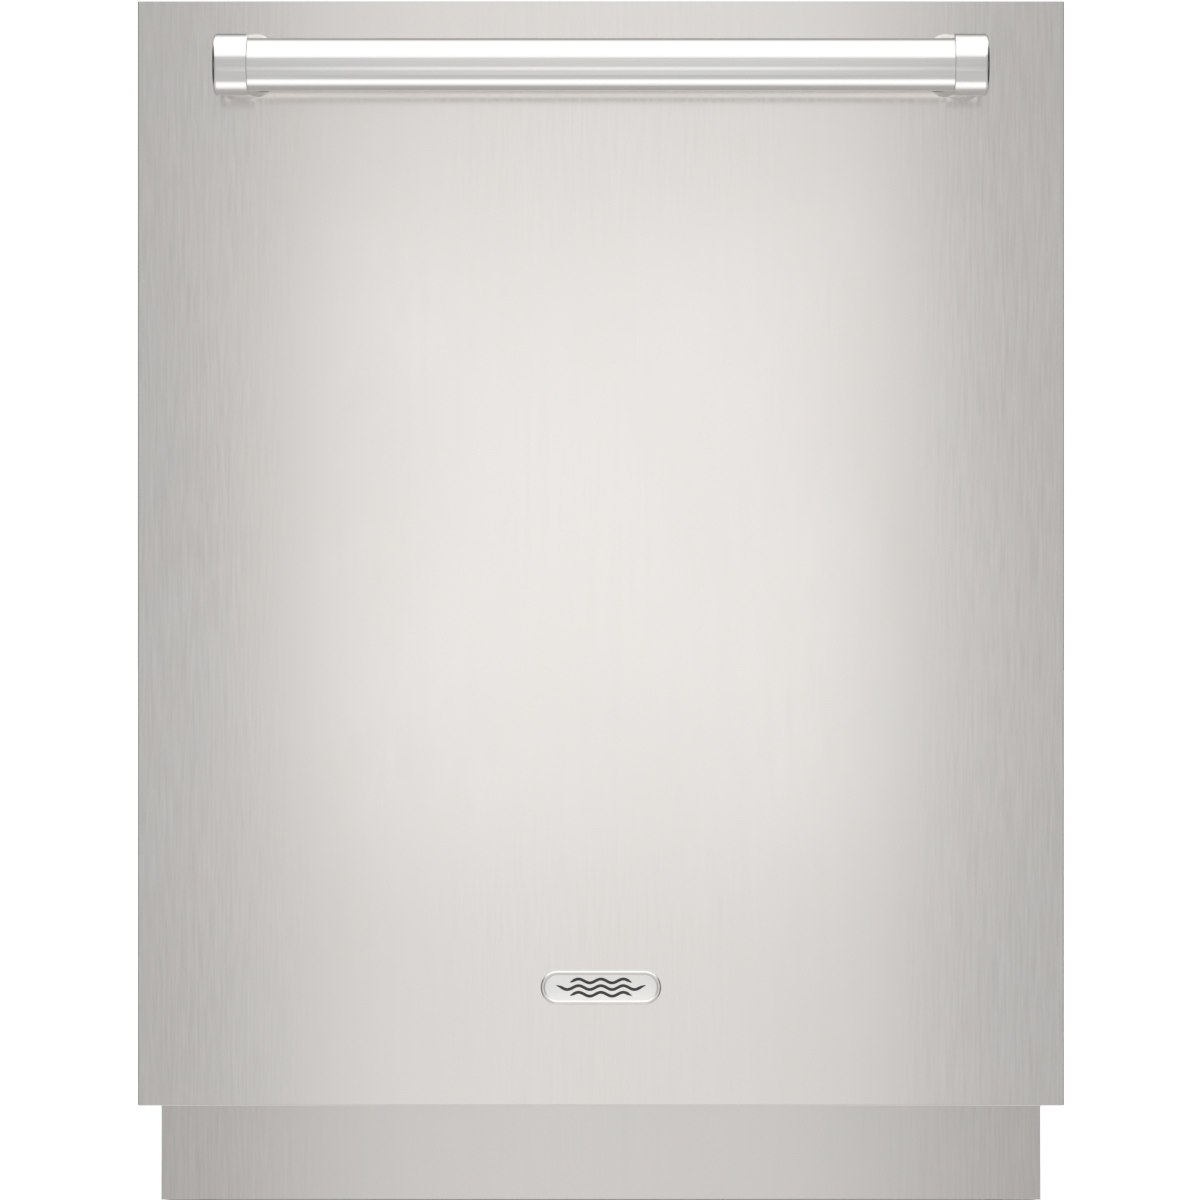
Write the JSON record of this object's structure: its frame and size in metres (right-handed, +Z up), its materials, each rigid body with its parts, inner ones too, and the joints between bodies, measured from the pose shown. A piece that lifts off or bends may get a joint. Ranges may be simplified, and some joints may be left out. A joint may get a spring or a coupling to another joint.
{
  "type": "built-in dishwasher",
  "caption": "Built-in dishwasher with a flat stainless drop-down door, a straight tubular handle, a toe-kick, pull-out racks, a cutlery tray and spray arms.",
  "frame": {"origin": "on the floor, under the middle of the whole outline", "axes": "+X to the user's right, -Y to the front (the door faces -Y), +Z up"},
  "size_m": [0.6, 0.665, 0.815],
  "materials": {
    "brushed_stainless": "vertical fine brush",
    "polished_handle": "fine satin, brighter than the panel",
    "badge_metal": "satin with a dark printed mark",
    "tub_stainless": "smooth bright",
    "galvanised": "galvanised sheet",
    "bright_steel": "zinc plated",
    "black_plastic": "fine texture",
    "grey_plastic": "satin",
    "white_plastic": "satin",
    "control_black": "satin black",
    "button_metal": "satin silver",
    "display_black": "gloss",
    "rubber": "matt",
    "rack_wire": "nylon coated",
    "blanket_felt": "grey felt",
    "damping_board": "bitumen",
    "lens": "frosted",
    "pump_metal": "cast"
  },
  "bodies": {
    "cabinet": {"base_pan": "black_plastic", "side_panel_right": "galvanised", "side_panel_left": "galvanised", "counter_brackets": "galvanised", "kickplate": "brushed_stainless", "insulation_blanket": "blanket_felt", "chassis_screws": "bright_steel", "junction_box": "galvanised", "inlet_valve": "white_plastic", "sump": "grey_plastic", "circulation_pump": "pump_metal", "drain_pump": "black_plastic", "softener_tank": "white_plastic", "filter_plate": "tub_stainless", "feed_pipe": "grey_plastic", "tub": "tub_stainless", "tub_gasket": "rubber", "interior_lights": "lens", "door_strike": "bright_steel", "hinge_brackets": "galvanised", "door_springs": "bright_steel", "rack_slide_outers": "bright_steel"},
    "door": {"door_outer_panel": "brushed_stainless", "door_insulation": "damping_board", "door_inner_liner": "tub_stainless", "hinge_arms": "galvanised", "control_strip": "control_black", "display_window": "display_black", "handle_bar": "polished_handle", "handle_stanchions": "polished_handle", "badge": "badge_metal", "dispenser_body": "grey_plastic"},
    "lower_rack": {"lower_basket": "rack_wire", "lower_rack_handle": "tub_stainless"},
    "upper_rack": {"upper_basket": "rack_wire", "upper_slide_inner": "bright_steel", "upper_feed_tube": "grey_plastic"},
    "slide_middle": {"upper_slide_middle": "bright_steel"},
    "tray": {"cutlery_tray": "grey_plastic"},
    "fold_row": {"fold_tines": "rack_wire"},
    "front_axle": {"front_wheels": "grey_plastic"},
    "rear_axle": {"rear_wheels": "grey_plastic"},
    "lower_arm": {"lower_spray_arm": "grey_plastic"},
    "middle_arm": {"middle_spray_arm": "grey_plastic"},
    "top_arm": {"top_spray_arm": "grey_plastic"},
    "filter": {"filter_cup": "grey_plastic"},
    "softener_lid": {"softener_cap": "white_plastic"},
    "lid": {"detergent_lid": "grey_plastic"},
    "rinse_lid": {"rinse_cap": "grey_plastic"},
    "shelf_left": {"cup_shelf_left": "rack_wire"},
    "shelf_right": {"cup_shelf_right": "rack_wire"},
    "power_button_body": {"power_button": "button_metal"},
    "program_button_body": {"program_button": "button_metal"},
    "option_button_body": {"option_button": "button_metal"},
    "delay_button_body": {"delay_button": "button_metal"},
    "start_button_body": {"start_button": "button_metal"},
    "foot_front_left_body": {"foot_front_left": "black_plastic"},
    "foot_front_right_body": {"foot_front_right": "black_plastic"},
    "foot_rear_left_body": {"foot_rear_left": "black_plastic"},
    "foot_rear_right_body": {"foot_rear_right": "black_plastic"}
  },
  "joints": [
    {"name": "door_hinge", "type": "hinge", "parent": "cabinet", "child": "door", "pos_m": [0, -0.2175, 0.114], "axis": [1, 0, 0], "range_deg": [0, 90], "stiffness_Nm_per_rad": 27},
    {"name": "lower_rack_slide", "type": "slide", "parent": "cabinet", "child": "lower_rack", "axis": [0, -1, 0], "range_m": [0, 0.206]},
    {"name": "upper_rack_slide", "type": "slide", "parent": "cabinet", "child": "upper_rack", "axis": [0, -1, 0], "range_m": [0, 0.441]},
    {"name": "slide_middle_slide", "type": "slide", "parent": "cabinet", "child": "slide_middle", "axis": [0, -1, 0], "range_m": [0, 0.221]},
    {"name": "tray_slide", "type": "slide", "parent": "cabinet", "child": "tray", "axis": [0, -1, 0], "range_m": [0, 0.401]},
    {"name": "front_wheel_spin", "type": "hinge", "parent": "lower_rack", "child": "front_axle", "pos_m": [0, 0.0165, 0.1533], "axis": [1, 0, 0], "range_deg": [0, 692]},
    {"name": "rear_wheel_spin", "type": "hinge", "parent": "lower_rack", "child": "rear_axle", "pos_m": [0, 0.2525, 0.1533], "axis": [1, 0, 0], "range_deg": [0, 692]},
    {"name": "fold_tines_hinge", "type": "hinge", "parent": "lower_rack", "child": "fold_row", "pos_m": [0, 0.0325, 0.18855], "axis": [-1, 0, 0], "range_deg": [0, 85]},
    {"name": "lower_arm_spin", "type": "hinge", "parent": "cabinet", "child": "lower_arm", "pos_m": [0, 0.0625, 0.155], "axis": [0, 0, 1], "continuous": true},
    {"name": "middle_arm_spin", "type": "hinge", "parent": "upper_rack", "child": "middle_arm", "pos_m": [0, 0.0625, 0.434], "axis": [0, 0, 1], "continuous": true},
    {"name": "top_arm_spin", "type": "hinge", "parent": "cabinet", "child": "top_arm", "pos_m": [0, 0.0625, 0.768], "axis": [0, 0, 1], "continuous": true},
    {"name": "filter_twist", "type": "hinge", "parent": "cabinet", "child": "filter", "pos_m": [0.1, 0.0425, 0.11], "axis": [0, 0, 1], "range_deg": [0, 90]},
    {"name": "softener_cap_twist", "type": "hinge", "parent": "cabinet", "child": "softener_lid", "pos_m": [-0.18, -0.0875, 0.125], "axis": [0, 0, 1], "range_deg": [0, 360]},
    {"name": "detergent_lid_slide", "type": "slide", "parent": "door", "child": "lid", "axis": [0, 0, 1], "range_m": [0, 0.074]},
    {"name": "rinse_cap_twist", "type": "hinge", "parent": "door", "child": "rinse_lid", "pos_m": [0.044, -0.2225, 0.42], "axis": [0, 1, 0], "range_deg": [0, 90]},
    {"name": "cup_shelf_left_hinge", "type": "hinge", "parent": "upper_rack", "child": "shelf_left", "pos_m": [-0.228, 0.0525, 0.536], "axis": [0, -1, 0], "range_deg": [0, 85]},
    {"name": "cup_shelf_right_hinge", "type": "hinge", "parent": "upper_rack", "child": "shelf_right", "pos_m": [0.228, 0.0525, 0.536], "axis": [0, 1, 0], "range_deg": [0, 85]},
    {"name": "power_button_press", "type": "slide", "parent": "door", "child": "power_button_body", "axis": [0, 0, -1], "range_m": [0, 0.0015], "stiffness_N_per_m": 1500, "springref_m": -0.0004},
    {"name": "program_button_press", "type": "slide", "parent": "door", "child": "program_button_body", "axis": [0, 0, -1], "range_m": [0, 0.0015], "stiffness_N_per_m": 1500, "springref_m": -0.0004},
    {"name": "option_button_press", "type": "slide", "parent": "door", "child": "option_button_body", "axis": [0, 0, -1], "range_m": [0, 0.0015], "stiffness_N_per_m": 1500, "springref_m": -0.0004},
    {"name": "delay_button_press", "type": "slide", "parent": "door", "child": "delay_button_body", "axis": [0, 0, -1], "range_m": [0, 0.0015], "stiffness_N_per_m": 1500, "springref_m": -0.0004},
    {"name": "start_button_press", "type": "slide", "parent": "door", "child": "start_button_body", "axis": [0, 0, -1], "range_m": [0, 0.0015], "stiffness_N_per_m": 1500, "springref_m": -0.0004},
    {"name": "foot_front_left_screw", "type": "slide", "parent": "cabinet", "child": "foot_front_left_body", "axis": [0, 0, -1], "range_m": [0, 0.04]},
    {"name": "foot_front_right_screw", "type": "slide", "parent": "cabinet", "child": "foot_front_right_body", "axis": [0, 0, -1], "range_m": [0, 0.04]},
    {"name": "foot_rear_left_screw", "type": "slide", "parent": "cabinet", "child": "foot_rear_left_body", "axis": [0, 0, -1], "range_m": [0, 0.04]},
    {"name": "foot_rear_right_screw", "type": "slide", "parent": "cabinet", "child": "foot_rear_right_body", "axis": [0, 0, -1], "range_m": [0, 0.04]}
  ],
  "couplings": [
    {"joint": "lower_rack_slide", "follows": "door_hinge", "m_per_rad": 0.1305},
    {"joint": "upper_rack_slide", "follows": "door_hinge", "m_per_rad": 0.2801},
    {"joint": "slide_middle_slide", "follows": "door_hinge", "m_per_rad": 0.14005},
    {"joint": "tray_slide", "follows": "door_hinge", "m_per_rad": 0.2546},
    {"joint": "front_wheel_spin", "follows": "door_hinge", "ratio": 7.6765},
    {"joint": "rear_wheel_spin", "follows": "door_hinge", "ratio": 7.6765}
  ]
}
